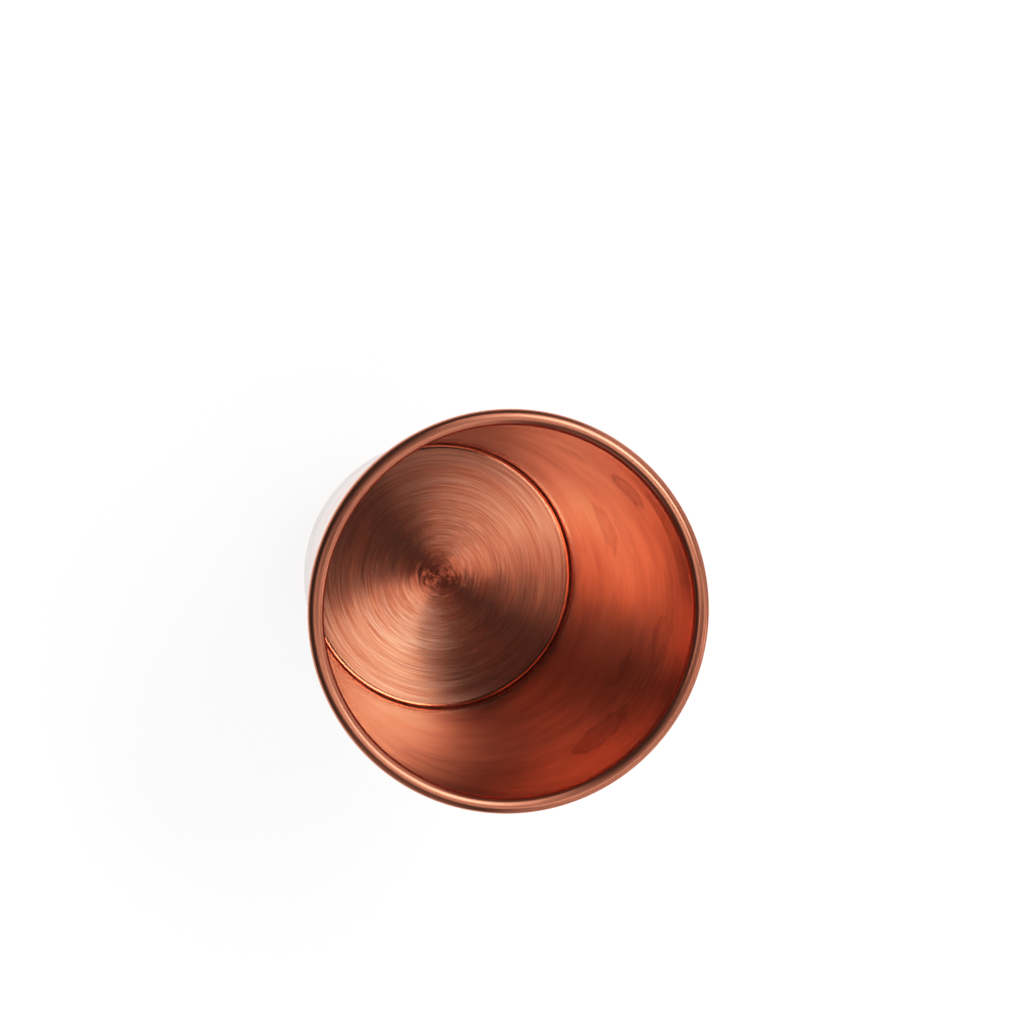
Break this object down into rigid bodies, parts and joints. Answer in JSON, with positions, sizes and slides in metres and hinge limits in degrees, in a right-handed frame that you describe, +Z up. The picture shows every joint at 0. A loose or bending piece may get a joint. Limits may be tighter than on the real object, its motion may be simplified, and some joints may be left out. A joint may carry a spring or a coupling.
{
  "type": "bar jigger",
  "caption": "Single-ended copper bar measure: a tapered round cup with a rolled wired rim and a flat turned floor brazed into its foot.",
  "frame": {"origin": "centre of the base, on the plane that the cup stands on", "axes": "+Z up along the cup's axis, out of its mouth; +X and +Y across the base, with no marked side"},
  "size_m": [0.045, 0.045, 0.0581],
  "materials": {
    "spun_copper": "spun copper, satin, lightly stained inside",
    "rim_wire": "drawn copper wire, unpolished",
    "turned_copper": "lathe-turned copper with fine concentric rings",
    "braze": "dark oxidised braze"
  },
  "bodies": {
    "root": {"cup_wall": "spun_copper", "rim_wire": "rim_wire", "floor_disc": "turned_copper", "braze_ring": "braze"}
  },
  "joints": []
}
